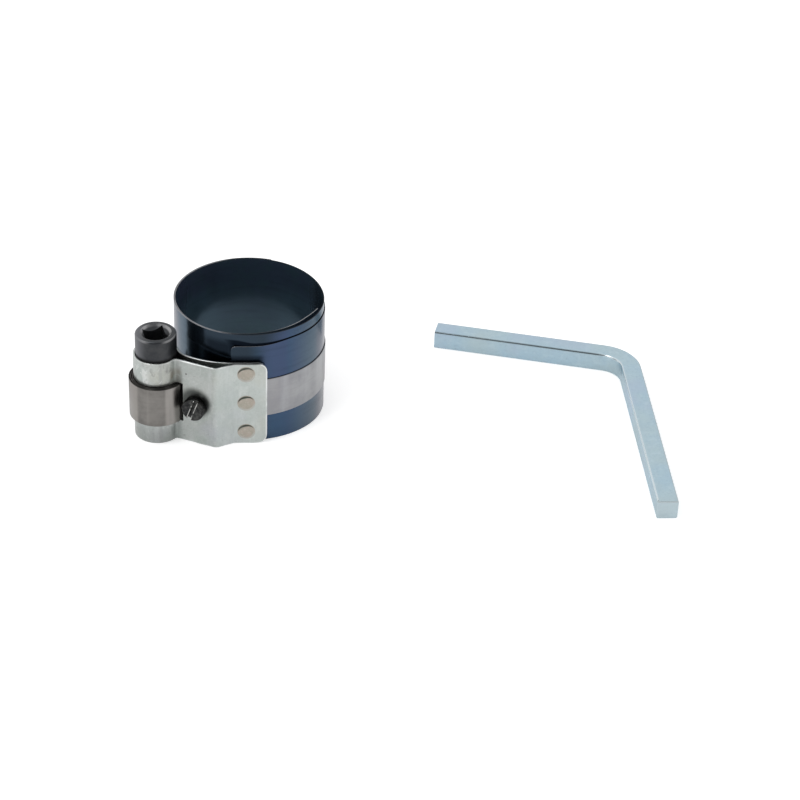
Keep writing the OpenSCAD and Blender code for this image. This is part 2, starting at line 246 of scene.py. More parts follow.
def settle(piece):
    """Applies a piece's modifiers by swapping in the evaluated mesh, with outward faces"""
    graph = bpy.context.evaluated_depsgraph_get()
    mesh = bpy.data.meshes.new_from_object(piece.evaluated_get(graph), preserve_all_data_layers=True,
                                           depsgraph=graph)
    piece.modifiers.clear()
    piece.data = mesh
    shell = bmesh.new()
    shell.from_mesh(mesh)
    bmesh.ops.remove_doubles(shell, verts=shell.verts, dist=WELD_DISTANCE)
    bmesh.ops.recalc_face_normals(shell, faces=shell.faces)
    shell.to_mesh(mesh)
    shell.free()
    mesh.shade_smooth()
    mesh.set_sharp_from_angle(angle=SMOOTH_ANGLE)


def run_tree(piece, tree, **values):
    """Puts a node tree on a piece, sets its named inputs and turns the result into a plain mesh"""
    modifier = piece.modifiers.new(tree.name, "NODES")
    modifier.node_group = tree
    for item in tree.interface.items_tree:
        if item.in_out == "INPUT" and item.name in values:
            modifier[item.identifier] = values[item.name]
    settle(piece)


def strip(name, path, gap, low, high, thickness, edge, finish):
    """An upright strip along a path; low and high are its edges, as numbers or as rules that take
    the distance along the path and the point there"""
    distances = stations(path, gap)
    points = places(path, distances)
    mesh = bpy.data.meshes.new(name)
    mesh.from_pydata([(p.x * MM, p.y * MM, 0.0) for p in points],
                     [(i, i + 1) for i in range(len(points) - 1)], [])
    levels = {label: [rule(d, p) if callable(rule) else rule for d, p in zip(distances, points)]
              for label, rule in (("low", low), ("high", high))}
    for label, values in {**levels, "along": distances}.items():
        attribute = mesh.attributes.new(label, "FLOAT", "POINT")
        attribute.data.foreach_set("value", [value * MM for value in values])
    piece = new_piece(name, mesh)
    run_tree(piece, STRIP_TREE, Thickness=thickness * MM, Edge=edge * MM, Finish=finish)
    return piece


class Wire:
    """A shader socket that takes part in Python sums; each sum adds its Math node"""

    def __init__(self, socket):
        self.socket = socket

    def node(self, kind, sockets, output=0, **settings):
        return Wire(add_node(self.socket.id_data, kind, sockets, **settings).outputs[output])

    def sum(self, operation, first, second=0.0):
        return self.node("ShaderNodeMath", {0: first, 1: second}, operation=operation)

    def __add__(self, other):
        return self.sum("ADD", self, other)

    def __sub__(self, other):
        return self.sum("SUBTRACT", self, other)

    def __rsub__(self, other):
        return self.sum("SUBTRACT", other, self)

    def __mul__(self, other):
        return self.sum("MULTIPLY", self, other)

    def __truediv__(self, other):
        return self.sum("DIVIDE", self, other)

    def size(self):
        return self.sum("ABSOLUTE", self)

    def most(self, other):
        return self.sum("MAXIMUM", self, other)

    def vector(self, operation, other=(0.0, 0.0, 0.0), output=0):
        return self.node("ShaderNodeVectorMath", {0: self, 1: other}, output, operation=operation)

    def ramp(self, low, high):
        """0 below low, 1 above high, smooth between"""
        return self.node("ShaderNodeMapRange", {"Value": self, "From Min": low, "From Max": high},
                         interpolation_type="SMOOTHSTEP")

    def span(self, low, high):
        """The same ramp for a length, between two values in millimetres"""
        return self.ramp(low * MM, high * MM)

    def blend(self, first, second):
        """Colour that goes from first to second as this value goes from 0 to 1"""
        return self.node("ShaderNodeMix", {0: self, 6: first, 7: second}, 2, data_type="RGBA")


def rgb(red, green, blue):
    return (red, green, blue, 1.0)


class Finish:
    """A new material: its Principled shader, the coordinates its patterns read, and its tone so far"""

    def __init__(self, name, **fixed):
        self.material = bpy.data.materials.new(name)
        self.material.use_nodes = True
        nodes = self.material.node_tree.nodes
        self.shader = nodes["Principled BSDF"]
        for socket, value in fixed.items():
            self.shader.inputs[socket].default_value = value
        self.spot = Wire(nodes.new("ShaderNodeTexCoord").outputs["Object"])
        split = add_node(self.material.node_tree, "ShaderNodeSeparateXYZ", {0: self.spot})
        self.x, self.y, self.z = (Wire(out) for out in split.outputs)
        self.tone = None

    def attribute(self, name):
        return self.spot.node("ShaderNodeAttribute", {}, "Fac", attribute_name=name)

    def noise(self, scale, detail=3.0, rough=0.5, vector=None, twist=0.0):
        return self.spot.node("ShaderNodeTexNoise", {
            "Vector": vector or self.spot, "Scale": scale, "Detail": detail, "Roughness": rough,
            "Distortion": twist}, "Fac")

    def stretched(self, x, y, z):
        return self.spot.vector("MULTIPLY", (x, y, z))

    def rolled(self, squeeze):
        """Coordinates that follow a strip, squeezed along it so that noise becomes streaks"""
        return self.spot.node("ShaderNodeCombineXYZ", {"X": self.attribute("along") * squeeze, "Y": self.z})

    def upper_edge(self, near, far):
        """1 at a strip's upper edge, falling to 0 at the far distance below it"""
        return 1 - (self.attribute("high") - self.z).span(near, far)

    def layer(self, amount, colour):
        """Lays a colour over the tone so far"""
        self.tone = amount.blend(self.tone, colour)

    def feed(self, socket, value):
        self.material.node_tree.links.new(value.socket, self.shader.inputs[socket])

    def bump(self, height, strength, depth):
        self.feed("Normal", self.spot.node("ShaderNodeBump", {
            "Strength": strength, "Distance": depth * MM, "Height": height}))


BLUE_FACE = rgb(0.046, 0.088, 0.155)
BLUE_VIOLET = rgb(0.054, 0.081, 0.152)
BLUE_SHEEN = rgb(0.092, 0.132, 0.172)
BLUE_GREY = rgb(0.025, 0.039, 0.056)
BLUE_DEEP = rgb(0.003, 0.005, 0.009)
BLUE_INSIDE = rgb(0.040, 0.062, 0.098)
BLUE_TEAL = rgb(0.038, 0.080, 0.094)
BLUE_DUSK = rgb(0.062, 0.074, 0.135)
BLUE_WAIST = rgb(0.062, 0.110, 0.150)
LILAC_SHEEN = rgb(0.135, 0.140, 0.175)
EDGE_BRIGHT = rgb(0.27, 0.275, 0.29)
EDGE_DARK = rgb(0.020, 0.026, 0.034)

blued = Finish("blued_spring_steel")
along = blued.attribute("along")
cloud = blued.noise(38.0, 2.0)
streak = blued.noise(520.0, 3.0, vector=blued.rolled(0.08))
mottle = blued.noise(70.0, 2.0, vector=blued.stretched(1.0, 1.0, 0.25))
from_axis = blued.stretched(1.0, 1.0, 0.0).vector("LENGTH", output="Value")
inside = 1 - from_axis.span(BORE_R + 0.05, BORE_R + 0.25)
outer_turn = along.span(step_at - 1, step_at + 1)
# Painted reflection makes the blue darker and greyer at the front and to its left, and painted sheen makes
# it paler at both sides and lilac at their outermost.
blued.tone = mottle.ramp(0.42, 0.62).blend(BLUE_FACE, BLUE_VIOLET)
blued.layer(blued.x.span(14, 27), BLUE_SHEEN)
blued.layer(blued.x.span(25.5, 29) * outer_turn * 0.8, LILAC_SHEEN)
blued.layer(1 - (blued.x + outer_turn * (6 * MM)).span(5, 16), BLUE_GREY)
blued.layer(1 - blued.x.span(-26, -21), BLUE_SHEEN)
blued.layer((1 - blued.x.span(-29, -26.5)) * 0.8, LILAC_SHEEN)
# Painted shade darkens the band in the step above the outer turn, beside its tail and along the upper edge
# of the plate.
step_height = (1 - blued.x.span(2, 16)) * 0.8 + (1 - blued.x.span(-5, 3)) * 1.3 + 0.5
above_step = (blued.z / MM - OUTER_TURN_H - blued.x.span(LEAN_FROM, LEAN_TO) * OUTER_LEAN) / step_height
in_step = ((1 - above_step.ramp(0.75, 1.1)) * (1 - outer_turn) * along.span(front_at - 60, front_at - 40)
           * (1 - along.span(front_at + 4, front_at + 11)))
at_plate = (outer_turn * (1 - blued.z.span(HOUSING_H + 1.2, HOUSING_H + 3.4))
            * along.span(band_len - 14, band_len - 11))
beside_tail = ((1 - outer_turn) * (1 - blued.z.span(43.5, 47.5)) * along.span(front_at + 3, front_at + 7)
               * (1 - along.span(front_at + 14, front_at + 19)))
painted_step_shade = in_step.most((at_plate + beside_tail) * 0.75)
blued.layer(painted_step_shade, BLUE_DEEP)
# Inside, the blue turns teal in clouds; painted reflection turns it teal towards the foot and makes it
# palest half way up, most at the sides.
teal = blued.noise(140.0, 4.0, 0.6).ramp(0.4, 0.65) * 0.5 + (1 - blued.z.span(10, 34)) * 0.5
inner_hue = ((1 - blued.x.span(-27, -12)) * 0.6).blend(BLUE_INSIDE, BLUE_DUSK)
inner_hue = teal.blend(inner_hue, BLUE_TEAL)
half_way = blued.z.span(10, 18) * (1 - blued.z.span(30, 42))
at_sides = blued.x.size().span(6, 18)
blued.layer(inside, (half_way * (at_sides * 0.6 + 0.4)).blend(inner_hue, BLUE_WAIST))
blued.layer(streak.ramp(0.45, 0.8) * 0.25, BLUE_GREY)
# Painted light on the cut edges: a painted highlight at the left, at the free end and on the tail, and
# painted shade elsewhere, from the gap between the turns.
edge_highlight = outer_turn * (1 - blued.x.span(2, 12)) + (1 - outer_turn) * (1 - blued.x.span(-18, -4))
edge_highlight = edge_highlight.most(1 - along.span(14, 27))
blued.layer(blued.upper_edge(0.03, 0.12), edge_highlight.blend(EDGE_DARK, EDGE_BRIGHT))
blued.feed("Base Color", blued.tone)
blued.feed("Metallic", 0.88 - inside * 0.33 + painted_step_shade * 0.12)
blued.feed("Roughness", streak * 0.10 + cloud * 0.08 + 0.10)
blued.bump(streak * 0.5 + blued.noise(1400.0, 2.0) * 0.5, 0.06, 0.04)


def band_low(distance, point):
    return corner_drop(band_len - distance, TAIL_CORNER) + corner_drop(distance, END_CORNER)


def band_high(distance, point):
    lean = OUTER_LEAN * smooth((point.x - LEAN_FROM) / (LEAN_TO - LEAN_FROM))
    drop = (BAND_H - OUTER_TURN_H - lean) * smooth((distance - step_at) / STEP_RUN + 0.5)
    return BAND_H - drop - band_low(distance, point)


band = strip("spring_band_coiled", band_path, BAND_STATION, band_low, band_high, BAND_T, BAND_EDGE,
             blued.material)
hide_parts("spring_band")
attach(band, "ring")

# Tension strap: a narrow strip of bright rolled steel, spot welded under the housing plate.
# It runs once round the band, a little higher at the right, and crosses to the spindle.
STRAP_T = 0.3
STRAP_EDGE = 0.08
STRAP_STATION = 0.5
STRAP_W = 17.0
STRAP_Z = 11.4
STRAP_LEAN = math.radians(1.6)
STRAP_TAIL = 4.6
STRAP_GAP = 0.05
STRAP_R = second_r + BAND_T / 2 + STRAP_GAP + STRAP_T / 2
LEAVE_A = 200.058
RUN_LEN = 9.389

bright = Finish("bright_rolled_strip", Metallic=1.0)
strap_cloud = bright.noise(120.0, 4.0, 0.6)
strap_streak = bright.noise(900.0, 3.0, vector=bright.rolled(0.06))
strap_band = bright.noise(130.0, 2.0, vector=bright.stretched(1.0, 1.0, 0.06))
bright.tone = strap_cloud.ramp(0.3, 0.7).blend(rgb(0.285, 0.287, 0.305), rgb(0.37, 0.375, 0.385))
bright.layer(strap_streak.ramp(0.4, 0.8) * 0.3, rgb(0.24, 0.24, 0.245))
bright.layer(strap_band.ramp(0.46, 0.6) * 0.55, rgb(0.47, 0.475, 0.485))
bright.layer((1 - strap_band.ramp(0.34, 0.46)) * 0.3, rgb(0.225, 0.215, 0.21))
bright.layer((1 - bright.x.span(12, 20)) * 0.25, rgb(0.40, 0.40, 0.43))
# Painted shade: the strap's upper edge is darkened, for the gap between strap and band.
bright.layer(bright.upper_edge(0.08, 0.3) * 0.8, rgb(0.06, 0.065, 0.075))
bright.feed("Base Color", bright.tone)
bright.feed("Roughness", strap_cloud * 0.18 + strap_streak * 0.1 + 0.22)
bright.bump(strap_streak, 0.08, 0.05)

strap_y = -STRAP_R - TURN_STEP
strap_path = chain([Vector((-STRAP_TAIL, strap_y)), Vector((0.0, strap_y))], reversed(swing(STRAP_R)),
                   arc(ORIGIN, STRAP_R, LIFT_A, LEAVE_A))
strap_path = chain(strap_path, [strap_path[-1] + RUN_LEN * toward(LEAVE_A + 90)])


def strap_low(distance, point):
    return STRAP_Z + point.x * math.tan(STRAP_LEAN)


def strap_high(distance, point):
    return strap_low(distance, point) + STRAP_W / math.cos(STRAP_LEAN)


strap = strip("tension_strap_round_band", strap_path, STRAP_STATION, strap_low, strap_high, STRAP_T,
              STRAP_EDGE, bright.material)
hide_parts("tension_strap")
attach(strap, "ring")

# Housing: one strip of zinc plated sheet. It is welded to the ring at the plate, folds out and in
# again, rolls round the spindle as a barrel and comes back along the ring as the inner leaf.
SHEET_T = 0.9
SHEET_EDGE = 0.22
SHEET_STATION = 0.4
PLATE_REACH = 7.3
LEAF_SETBACK = 0.4
PLATE_CORNER = 3.6
FOLD_X = 12.8
FOLD_ANGLE = 24.4
NECK_R = 1.6
FOLD_R = 2.4
BEND_R = 3.0
SLOPE_X = 5.4
BACK_LEAF_R = 30.95
FRONT_LEAF_R = 31.89
PLATE_FACE = FRONT_LEAF_R + SHEET_T / 2
SPINDLE_R = 8.2
SPINDLE_AT = 42.9 * toward(-147.3)
BARREL_GAP = 0.08
BARREL_R = SPINDLE_R + BARREL_GAP + SHEET_T / 2
WIDE_R, WIDE_X = 34.0, -6.0
TIGHT_R = 6.0
WINDOW_R = 12.41
WINDOW_LOW, WINDOW_HIGH = 9.1, 26.7
SCREW_Z = 17.37
SCREW_FROM_FOLD = 8.5
SCREW_R = 2.5
SCREW_GAP = 0.08
SHANK_LEN = 7.514
HEAD_R = 4.7
WELD_R = 3.5
WELD_X = -0.8
WELD_PAST = 0.02
WELD_SIDES, HOLE_SIDES = 64, 48
WELD_SHARES = (0.875, 0.515, 0.155)
CUT_PAST = 1.0

# Each bend of the sheet is an arc tangent to its neighbours; the centres follow from that.
slope_tan = math.tan(math.radians(FOLD_ANGLE))
slope_cos = math.cos(math.radians(FOLD_ANGLE))
fold_depth = PLATE_FACE + (FOLD_X - SLOPE_X) * slope_tan - SHEET_T / 2 / slope_cos
FOLD_AT = Vector((-FOLD_X, -fold_depth))
FLAT_DIR = toward(180 - FOLD_ANGLE)
FLAT_OUT = toward(-90 - FOLD_ANGLE)
neck_off = (FOLD_AT - SPINDLE_AT).dot(FLAT_OUT) + NECK_R
neck_reach = math.sqrt((BARREL_R + NECK_R) ** 2 - neck_off ** 2)
neck_at = SPINDLE_AT + neck_off * FLAT_OUT - neck_reach * FLAT_DIR
neck_from = heading(SPINDLE_AT - neck_at)
neck_to = heading(-FLAT_OUT)
bend_x = FOLD_X - (fold_depth - FRONT_LEAF_R) / slope_tan
bend_at = Vector((BEND_R * math.tan(math.radians(FOLD_ANGLE / 2)) - bend_x, -FRONT_LEAF_R - BEND_R))
fold_centre = FOLD_AT + Vector((0.0, FOLD_R / slope_cos))
wide_at = Vector((WIDE_X, WIDE_R - BACK_LEAF_R))
to_axis = SPINDLE_AT - wide_at
span = to_axis.length
along_span = ((WIDE_R - TIGHT_R) ** 2 - (BARREL_R + TIGHT_R) ** 2 + span ** 2) / (2 * span)
across_span = math.sqrt((WIDE_R - TIGHT_R) ** 2 - along_span ** 2)
tight_at = wide_at + along_span * to_axis / span + across_span * Vector((-to_axis.y, to_axis.x)) / span
wide_to = heading(tight_at - wide_at)
tight_to = heading(SPINDLE_AT - tight_at)
tight_to -= 360.0 if tight_to > 0 else 0.0
barrel_from = heading(tight_at - SPINDLE_AT)
barrel_to = heading(neck_at - SPINDLE_AT) + 360.0
front_r = FRONT_LEAF_R + FRONT_LIFT
back_r = BACK_LEAF_R + FRONT_LIFT
screw_seat = FOLD_AT + FLAT_OUT * SHEET_T / 2 + FLAT_DIR * SCREW_FROM_FOLD


def reach_angle(radius, reach):
    return math.degrees(math.asin(reach / radius)) - 90


sheet_path = chain(
    arc(CENTRE_B, front_r, reach_angle(front_r, PLATE_REACH), -90.0),
    arc(bend_at, BEND_R, 90.0, 90.0 + FOLD_ANGLE),
    arc(fold_centre, FOLD_R, FOLD_ANGLE - 90.0, -90.0 - FOLD_ANGLE),
    arc(neck_at, NECK_R, neck_to, neck_from),
    arc(SPINDLE_AT, BARREL_R, barrel_to, barrel_from),
    arc(tight_at, TIGHT_R, tight_to, wide_to),
    arc(wide_at, WIDE_R, wide_to, -90.0),
    arc(CENTRE_B, back_r, -90.0, reach_angle(back_r, PLATE_REACH - LEAF_SETBACK)))
sheet_len = length_of(sheet_path)


def near_line(finish, place, near, far):
    """1 near an upright line through a place in plan, falling to 0 at the far distance"""
    flat = finish.stretched(1.0, 1.0, 0.0)
    reach = flat.vector("DISTANCE", (place.x * MM, place.y * MM, 0.0), "Value")
    return 1 - reach.span(near, far)


def near_spot(finish, place, height, near, far):
    """1 near a place in plan at a height, falling to 0 at the far distance"""
    reach = finish.spot.vector("DISTANCE", (place.x * MM, place.y * MM, height * MM), "Value")
    return 1 - reach.span(near, far)


zinc = Finish("zinc_plated_sheet", Metallic=1.0)
zinc_cloud = zinc.noise(110.0, 4.0, 0.6)
zinc_tint = zinc.noise(45.0, 2.0)
zinc_grain = zinc.noise(1500.0, 3.0, 0.6)
zinc_spark = zinc.noise(800.0, 3.0, 0.6)
zinc_fleck = zinc.noise(520.0, 4.0, 0.65, twist=0.6)
zinc_drawn = zinc.noise(300.0, 3.0, 0.6, vector=zinc.stretched(1.0, 1.0, 0.12))
zinc_formed = zinc.noise(190.0, 2.0, vector=zinc.stretched(1.0, 1.0, 0.03))
zinc_scuff = zinc.noise(230.0, 5.0, 0.7, vector=zinc.stretched(1.0, 1.0, 0.6), twist=1.2)
zinc.tone = zinc_cloud.ramp(0.32, 0.68).blend(rgb(0.375, 0.415, 0.395), rgb(0.47, 0.495, 0.48))
zinc.layer(zinc_tint.ramp(0.52, 0.66) * 0.5, rgb(0.47, 0.465, 0.40))
zinc.layer((1 - zinc_tint.ramp(0.34, 0.48)) * 0.5, rgb(0.44, 0.45, 0.50))
zinc.layer(zinc_drawn.ramp(0.5, 0.75) * 0.55, rgb(0.58, 0.60, 0.60))
zinc.layer(zinc_grain.ramp(0.46, 0.66) * 0.22, rgb(0.29, 0.305, 0.29))
zinc.layer(zinc_spark.ramp(0.52, 0.68) * 0.25, rgb(0.60, 0.625, 0.615))
zinc.layer(zinc_fleck.ramp(0.62, 0.74) * 0.55, rgb(0.21, 0.215, 0.205))
# The plate is lighter, the flat is darker higher up, and the rolled barrel is streaked and scuffed, with
# painted shade towards its foot.
on_plate = zinc.x.span(-FOLD_X - 0.6, -FOLD_X + 1)
on_barrel = 1 - zinc.x.span(-30, -27)
on_flat = (1 - on_barrel) * (1 - zinc.x.span(-FOLD_X - 1.4, -FOLD_X))
zinc.layer(on_plate * 0.4, rgb(0.545, 0.595, 0.575))
zinc.layer(on_flat * zinc.z.span(2, 12) * 0.25, rgb(0.31, 0.315, 0.305))
zinc.layer(zinc_formed.ramp(0.5, 0.6) * on_barrel * 0.15, rgb(0.66, 0.68, 0.67))
zinc.layer((1 - zinc_formed.ramp(0.38, 0.48)) * on_barrel * 0.4, rgb(0.31, 0.315, 0.32))
zinc.layer(zinc_scuff.ramp(0.57, 0.66) * (on_barrel * 0.35 + 0.1), rgb(0.22, 0.222, 0.215))
zinc.layer((1 - zinc_scuff.ramp(0.36, 0.44)) * (on_barrel * 0.35 + 0.15), rgb(0.72, 0.735, 0.72))
# Painted shade towards the barrel's foot.
zinc.layer((1 - zinc.z.span(3, 12)) * on_barrel * 0.5, rgb(0.25, 0.255, 0.25))
# Brown grime and painted shade sit in the crease at the neck, and a painted shadow and reflection of the
# screw darkens the zinc round it.
crease = near_line(zinc, neck_at, NECK_R - 0.2, NECK_R + 1.2)
crease_grime_and_shade = crease * zinc.z.span(24.5, 28) * (1 - zinc.z.span(30, 35)) * zinc_cloud.ramp(0.3, 0.55)
painted_screw_shade = near_spot(zinc, screw_seat, SCREW_Z + 2.0, HEAD_R, HEAD_R + 3.3)
zinc.layer(crease_grime_and_shade * 0.7, rgb(0.20, 0.165, 0.12))
zinc.layer(painted_screw_shade * 0.9, rgb(0.045, 0.05, 0.047))
# A pit on the flat and a rub mark high on the barrel.
pit = near_spot(zinc, screw_seat + 3.9 * FLAT_DIR, SCREW_Z + 14.2, 0.2, 0.65)
rub = near_spot(zinc, SPINDLE_AT + (BARREL_R + SHEET_T / 2) * toward(-57), 33.6, 0.5, 2.0)
zinc.layer(pit * 0.75 + rub * zinc_fleck.ramp(0.35, 0.55) * 0.55, rgb(0.10, 0.10, 0.095))
# Painted highlight: the edges are painted bright, least on the barrel; the plate's upper edge is darker.
corner_x = (zinc.x - (PLATE_REACH - PLATE_CORNER) * MM).most(0.0)
corner_z = ((zinc.z - HOUSING_H / 2 * MM).size() - (HOUSING_H / 2 - PLATE_CORNER) * MM).most(0.0)
edge_gap = PLATE_CORNER * MM - corner_x.sum("SQRT", corner_x * corner_x + corner_z * corner_z)
away_from_barrel = 1 - near_line(zinc, SPINDLE_AT, BARREL_R + 1, BARREL_R + 3) * 0.65
zinc.layer((1 - edge_gap.span(0.18, 0.6)) * zinc_cloud.ramp(0.3, 0.55) * away_from_barrel,
           rgb(0.78, 0.80, 0.795))
darker_plate_edge = zinc.z.span(HOUSING_H - 0.5, HOUSING_H - 0.15) * zinc.x.span(-10, -6)
zinc.layer(darker_plate_edge * 0.8, rgb(0.15, 0.16, 0.16))
zinc.feed("Base Color", zinc.tone)
zinc.feed("Roughness", zinc_cloud * 0.12 + zinc_grain * 0.10 + 0.20 + crease * 0.3)
zinc.bump(zinc_grain * 0.5 + zinc_drawn * 0.3 + zinc_fleck * 0.4, 0.12, 0.06)


def sheet_low(distance, point):
    return corner_drop(distance, PLATE_CORNER) + corner_drop(sheet_len - distance, PLATE_CORNER)


def sheet_high(distance, point):
    return HOUSING_H - sheet_low(distance, point)


housing = strip("housing_folded_sheet", sheet_path, SHEET_STATION, sheet_low, sheet_high, SHEET_T,
                SHEET_EDGE, zinc.material)


def as_mesh(shell, name):
    """The mesh of a finished shell"""
    mesh = bpy.data.meshes.new(name)
    shell.to_mesh(mesh)
    shell.free()
    return mesh


def cylinder(radius, bottom, top, place, sides=96, radius_top=None):
    """A plain closed cylinder or cone about the place's Z axis, used to cut"""
    shell = bmesh.new()
    bmesh.ops.create_cone(shell, cap_ends=True, segments=sides, radius1=radius * MM,
                          radius2=(radius_top or radius) * MM, depth=(top - bottom) * MM,
                          matrix=place @ Matrix.Translation((0, 0, (top + bottom) / 2 * MM)))
    return new_piece("cutter", as_mesh(shell, "cutter"))


def cut(piece, cutters):
    """Cuts solids out of a piece and removes the cutters"""
    for cutter in cutters:
        modifier = piece.modifiers.new("cut", "BOOLEAN")
        modifier.operation = "DIFFERENCE"
        modifier.solver = "EXACT"
        modifier.object = cutter
    settle(piece)
    for cutter in cutters:
        bpy.data.meshes.remove(cutter.data)


def turned(angle, axis):
    return Matrix.Rotation(math.radians(angle), 4, axis)


SCREW_PLACE = (Matrix.Translation((screw_seat.x * MM, screw_seat.y * MM, SCREW_Z * MM))
               @ turned(heading(FLAT_OUT), "Z") @ turned(90, "Y"))
AXIS_PLACE = Matrix.Translation((SPINDLE_AT.x * MM, SPINDLE_AT.y * MM, 0.0))
WELD_SPOTS = [(WELD_X * MM, -PLATE_FACE * MM, share * HOUSING_H * MM) for share in WELD_SHARES]
FACING = turned(90, "X")

cut(housing, [cylinder(WINDOW_R, WINDOW_LOW, WINDOW_HIGH, AXIS_PLACE),
              cylinder(SCREW_R + SCREW_GAP, -SHANK_LEN, CUT_PAST, SCREW_PLACE, HOLE_SIDES)]
    + [cylinder(WELD_R, -SHEET_T - WELD_PAST, CUT_PAST, Matrix.Translation(spot) @ FACING, WELD_SIDES)
       for spot in WELD_SPOTS])
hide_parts("housing")
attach(housing, "ring")

# Spot welds: three dished marks where the electrodes pressed plate, strap and band tail together.
# The heat left the zinc beige inside the marks. Wall and side values are shares of WELD_R.
WELD_DEEP = 0.30
WELD_TILT = 0.22
WELD_LEAN = 105.0
WELD_RINGS = 20
WELD_WALL, WELD_SPREAD = 0.2, 0.35
SIDE_FROM, SIDE_RUN = 0.1, 0.5
WELD_SHARP = math.radians(60)

heated = Finish("heat_tinted_weld", Metallic=1.0)
weld_cloud = heated.noise(420.0, 3.0, 0.6)
weld_fleck = heated.noise(1100.0, 3.0, 0.6)
weld_tint = heated.noise(160.0, 1.0)
heated.tone = weld_cloud.ramp(0.35, 0.7).blend(rgb(0.38, 0.36, 0.305), rgb(0.45, 0.40, 0.35))
heated.layer(weld_fleck.ramp(0.52, 0.68) * 0.4, rgb(0.56, 0.53, 0.48))
heated.layer(weld_tint.ramp(0.48, 0.6) * 0.2, rgb(0.46, 0.37, 0.33))
# Painted shade on the upper left wall of each mark and a painted highlight on its lower right wall.
heated.layer(heated.attribute("wall_shade") * (weld_cloud * 0.5 + 0.75), rgb(0.07, 0.08, 0.068))
heated.layer(heated.attribute("lip") * 0.8, rgb(0.50, 0.505, 0.48))
heated.feed("Base Color", heated.tone)
heated.feed("Roughness", weld_cloud * 0.2 + 0.34)
heated.bump(heated.noise(1600.0, 3.0), 0.18, 0.08)


def lathe(rings, sides, place):
    """Closed solid of revolution about the place's Z axis from (radius, height) rings"""
    shell = bmesh.new()
    loops = []
    for radius, height in rings:
        rim = [radius * MM * toward(360 * i / sides) for i in range(sides)] if radius else [ORIGIN]
        loops.append([shell.verts.new(place @ Vector((p.x, p.y, height * MM))) for p in rim])
    for first, second in zip(loops, loops[1:]):
        for i in range(sides):
            j = (i + 1) % sides
            corners = [first[i % len(first)], first[j % len(first)],
                       second[j % len(second)], second[i % len(second)]]
            shell.faces.new(list(dict.fromkeys(corners)))
    bmesh.ops.recalc_face_normals(shell, faces=shell.faces)
    return as_mesh(shell, "turned")


weld_rings = [(WELD_R * i / WELD_RINGS, 0.0) for i in range(WELD_RINGS + 1)]
weld_mesh = lathe(weld_rings + [(WELD_R, -SHEET_T), (0.0, -SHEET_T)], WELD_SIDES, FACING)
weld_wall_shade, weld_wall_highlight = [], []
for vertex in weld_mesh.vertices:
    # The electrode stood askew: the mark is deep at its upper left and nearly flush at its lower right.
    out = Vector((vertex.co.x, vertex.co.z)) / (WELD_R * MM)
    skew = out.dot(toward(WELD_LEAN))
    breadth = WELD_WALL + WELD_SPREAD * max(0.0, skew / max(out.length, 0.01)) ** 2
    wall = 1 - smooth((out.length - 1 + breadth) / breadth)
    slope = smooth(6 * wall * (1 - wall))
    # Painted shade on the upper left wall, painted highlight on the lower right wall.
    weld_wall_shade.append(slope * smooth((skew - SIDE_FROM) / SIDE_RUN))
    weld_wall_highlight.append(slope * smooth((-skew - SIDE_FROM) / SIDE_RUN))
    if vertex.co.y < 0.5 * SHEET_T * MM:
        vertex.co.y = (WELD_DEEP + WELD_TILT * skew) * wall * MM
for label, values in (("wall_shade", weld_wall_shade), ("lip", weld_wall_highlight)):
    weld_mesh.attributes.new(label, "FLOAT", "POINT").data.foreach_set("value", values)
weld_mesh.shade_smooth()
weld_mesh.set_sharp_from_angle(angle=WELD_SHARP)
weld_shape = new_piece("weld_shape", weld_mesh)


def weld_tree():
    """Node tree that sets one weld mark on each point of the piece"""
    tree, given = new_tree("weld_marks", Points="Geometry", Mark="Object", Finish="Material")
    mark = add_node(tree, "GeometryNodeObjectInfo", {"Object": given["Mark"]}).outputs["Geometry"]
    marks = add_node(tree, "GeometryNodeInstanceOnPoints", {"Points": given["Points"], "Instance": mark})
    return end_tree(tree, marks.outputs[0], given["Finish"])


weld_points = bpy.data.meshes.new("weld_points")
weld_points.from_pydata(WELD_SPOTS, [], [])
welds = new_piece("spot_weld_marks", weld_points)
run_tree(welds, weld_tree(), Mark=weld_shape, Finish=heated.material)
bpy.data.objects.remove(weld_shape)
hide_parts("weld_upper", "weld_middle", "weld_lower")
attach(welds, "ring")

# Spindle: turned steel bar with a black oxide finish. A square socket for the key is broached into
# its top behind a round countersunk mouth, and a slot in its side holds the strap's tongue.
SPINDLE_TOP = 46.5
SPINDLE_FOOT = 0.4
SOCKET_A = 8.4
SOCKET_DEPTH = 15.0
SOCKET_TURN = 21.0
MOUTH_R = 6.2
MOUTH_DEPTH = 2.0
COIL_Z = 9.4
TONGUE = 2.4
SLOT_GAP = 0.1

black = Finish("black_oxide", Metallic=0.8)
black_cloud = black.noise(220.0, 4.0, 0.6)
black_turned = black.noise(1400.0, 2.0, vector=black.stretched(0.1, 0.1, 1.0))
black.tone = black_cloud.ramp(0.35, 0.7).blend(rgb(0.036, 0.039, 0.044), rgb(0.061, 0.063, 0.067))
